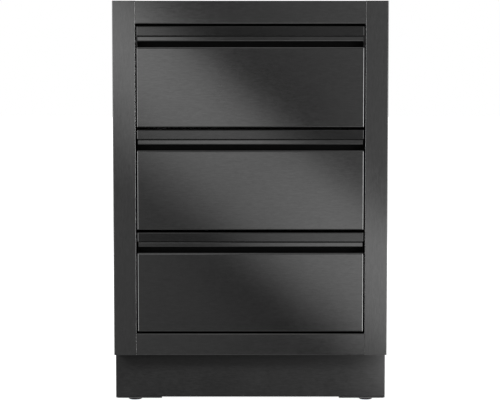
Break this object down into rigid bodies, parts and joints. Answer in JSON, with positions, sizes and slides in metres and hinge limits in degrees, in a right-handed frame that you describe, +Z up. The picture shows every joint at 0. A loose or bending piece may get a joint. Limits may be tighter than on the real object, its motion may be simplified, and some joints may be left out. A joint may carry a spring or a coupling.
{
  "type": "drawer base cabinet",
  "caption": "Free-standing dark brushed steel base cabinet: flush drawers with recessed finger pulls in a face frame, above a set-back toe kick with levelling feet.",
  "frame": {"origin": "on the floor, at the centre of the footprint", "axes": "+X to the right as seen from the front, -Y to the front (the drawers open towards -Y), +Z up"},
  "size_m": [0.6096, 0.6096, 0.9],
  "materials": {
    "dark_steel": "fine horizontal or vertical brushed grain, dark charcoal, satin",
    "recess_steel": "the same dark steel, unlit inside the finger recess",
    "sheet_steel": "plain satin stainless sheet",
    "slide_steel": "bright zinc plate",
    "screw_steel": "bright plated screws, nuts, studs and ball cages",
    "pad_plastic": "moulded, matt black"
  },
  "bodies": {
    "cabinet": {"side_panel_left": "dark_steel", "side_panel_right": "dark_steel", "back_panel": "dark_steel", "floor_panel": "sheet_steel", "rear_stretcher": "sheet_steel", "slide_panel_left": "sheet_steel", "slide_panel_right": "sheet_steel", "stile_left": "dark_steel", "stile_right": "dark_steel", "top_rail": "dark_steel", "bottom_rail": "dark_steel", "toe_kick": "dark_steel", "foot_plates": "sheet_steel", "foot_nuts": "screw_steel", "top_gussets": "sheet_steel", "case_screws": "screw_steel", "cabinet_slides_1": "slide_steel", "cabinet_slides_2": "slide_steel", "cabinet_slides_3": "slide_steel"},
    "drawer_1": {"front_panel_1": "dark_steel", "pull_band_1": "dark_steel", "pull_recess_1": "recess_steel", "box_front_1": "sheet_steel", "box_tray_1": "sheet_steel", "box_back_1": "sheet_steel", "drawer_screws_1": "screw_steel", "drawer_slides_1": "slide_steel"},
    "middle_members_1": {"middle_slides_1": "slide_steel"},
    "outer_balls_1": {"outer_ball_cages_1": "screw_steel"},
    "inner_balls_1": {"inner_ball_cages_1": "screw_steel"},
    "drawer_2": {"front_panel_2": "dark_steel", "pull_band_2": "dark_steel", "pull_recess_2": "recess_steel", "box_front_2": "sheet_steel", "box_tray_2": "sheet_steel", "box_back_2": "sheet_steel", "drawer_screws_2": "screw_steel", "drawer_slides_2": "slide_steel"},
    "middle_members_2": {"middle_slides_2": "slide_steel"},
    "outer_balls_2": {"outer_ball_cages_2": "screw_steel"},
    "inner_balls_2": {"inner_ball_cages_2": "screw_steel"},
    "drawer_3": {"front_panel_3": "dark_steel", "pull_band_3": "dark_steel", "pull_recess_3": "recess_steel", "box_front_3": "sheet_steel", "box_tray_3": "sheet_steel", "box_back_3": "sheet_steel", "drawer_screws_3": "screw_steel", "drawer_slides_3": "slide_steel"},
    "middle_members_3": {"middle_slides_3": "slide_steel"},
    "outer_balls_3": {"outer_ball_cages_3": "screw_steel"},
    "inner_balls_3": {"inner_ball_cages_3": "screw_steel"},
    "foot_front_left": {"foot_pad_front_left": "pad_plastic", "foot_stud_front_left": "screw_steel"},
    "foot_front_right": {"foot_pad_front_right": "pad_plastic", "foot_stud_front_right": "screw_steel"},
    "foot_rear_left": {"foot_pad_rear_left": "pad_plastic", "foot_stud_rear_left": "screw_steel"},
    "foot_rear_right": {"foot_pad_rear_right": "pad_plastic", "foot_stud_rear_right": "screw_steel"}
  },
  "joints": [
    {"name": "drawer_1_slide", "type": "slide", "parent": "cabinet", "child": "drawer_1", "axis": [0, -1, 0], "range_m": [0, 0.45]},
    {"name": "middle_members_1_slide", "type": "slide", "parent": "cabinet", "child": "middle_members_1", "axis": [0, -1, 0], "range_m": [0, 0.225]},
    {"name": "outer_balls_1_slide", "type": "slide", "parent": "cabinet", "child": "outer_balls_1", "axis": [0, -1, 0], "range_m": [0, 0.1125]},
    {"name": "inner_balls_1_slide", "type": "slide", "parent": "cabinet", "child": "inner_balls_1", "axis": [0, -1, 0], "range_m": [0, 0.3375]},
    {"name": "drawer_2_slide", "type": "slide", "parent": "cabinet", "child": "drawer_2", "axis": [0, -1, 0], "range_m": [0, 0.45]},
    {"name": "middle_members_2_slide", "type": "slide", "parent": "cabinet", "child": "middle_members_2", "axis": [0, -1, 0], "range_m": [0, 0.225]},
    {"name": "outer_balls_2_slide", "type": "slide", "parent": "cabinet", "child": "outer_balls_2", "axis": [0, -1, 0], "range_m": [0, 0.1125]},
    {"name": "inner_balls_2_slide", "type": "slide", "parent": "cabinet", "child": "inner_balls_2", "axis": [0, -1, 0], "range_m": [0, 0.3375]},
    {"name": "drawer_3_slide", "type": "slide", "parent": "cabinet", "child": "drawer_3", "axis": [0, -1, 0], "range_m": [0, 0.45]},
    {"name": "middle_members_3_slide", "type": "slide", "parent": "cabinet", "child": "middle_members_3", "axis": [0, -1, 0], "range_m": [0, 0.225]},
    {"name": "outer_balls_3_slide", "type": "slide", "parent": "cabinet", "child": "outer_balls_3", "axis": [0, -1, 0], "range_m": [0, 0.1125]},
    {"name": "inner_balls_3_slide", "type": "slide", "parent": "cabinet", "child": "inner_balls_3", "axis": [0, -1, 0], "range_m": [0, 0.3375]},
    {"name": "foot_front_left_screw", "type": "slide", "parent": "cabinet", "child": "foot_front_left", "axis": [0, 0, -1], "range_m": [0, 0.02]},
    {"name": "foot_front_right_screw", "type": "slide", "parent": "cabinet", "child": "foot_front_right", "axis": [0, 0, -1], "range_m": [0, 0.02]},
    {"name": "foot_rear_left_screw", "type": "slide", "parent": "cabinet", "child": "foot_rear_left", "axis": [0, 0, -1], "range_m": [0, 0.02]},
    {"name": "foot_rear_right_screw", "type": "slide", "parent": "cabinet", "child": "foot_rear_right", "axis": [0, 0, -1], "range_m": [0, 0.02]}
  ],
  "couplings": [
    {"joint": "middle_members_1_slide", "follows": "drawer_1_slide", "ratio": 0.5},
    {"joint": "outer_balls_1_slide", "follows": "drawer_1_slide", "ratio": 0.25},
    {"joint": "inner_balls_1_slide", "follows": "drawer_1_slide", "ratio": 0.75},
    {"joint": "middle_members_2_slide", "follows": "drawer_2_slide", "ratio": 0.5},
    {"joint": "outer_balls_2_slide", "follows": "drawer_2_slide", "ratio": 0.25},
    {"joint": "inner_balls_2_slide", "follows": "drawer_2_slide", "ratio": 0.75},
    {"joint": "middle_members_3_slide", "follows": "drawer_3_slide", "ratio": 0.5},
    {"joint": "outer_balls_3_slide", "follows": "drawer_3_slide", "ratio": 0.25},
    {"joint": "inner_balls_3_slide", "follows": "drawer_3_slide", "ratio": 0.75}
  ]
}
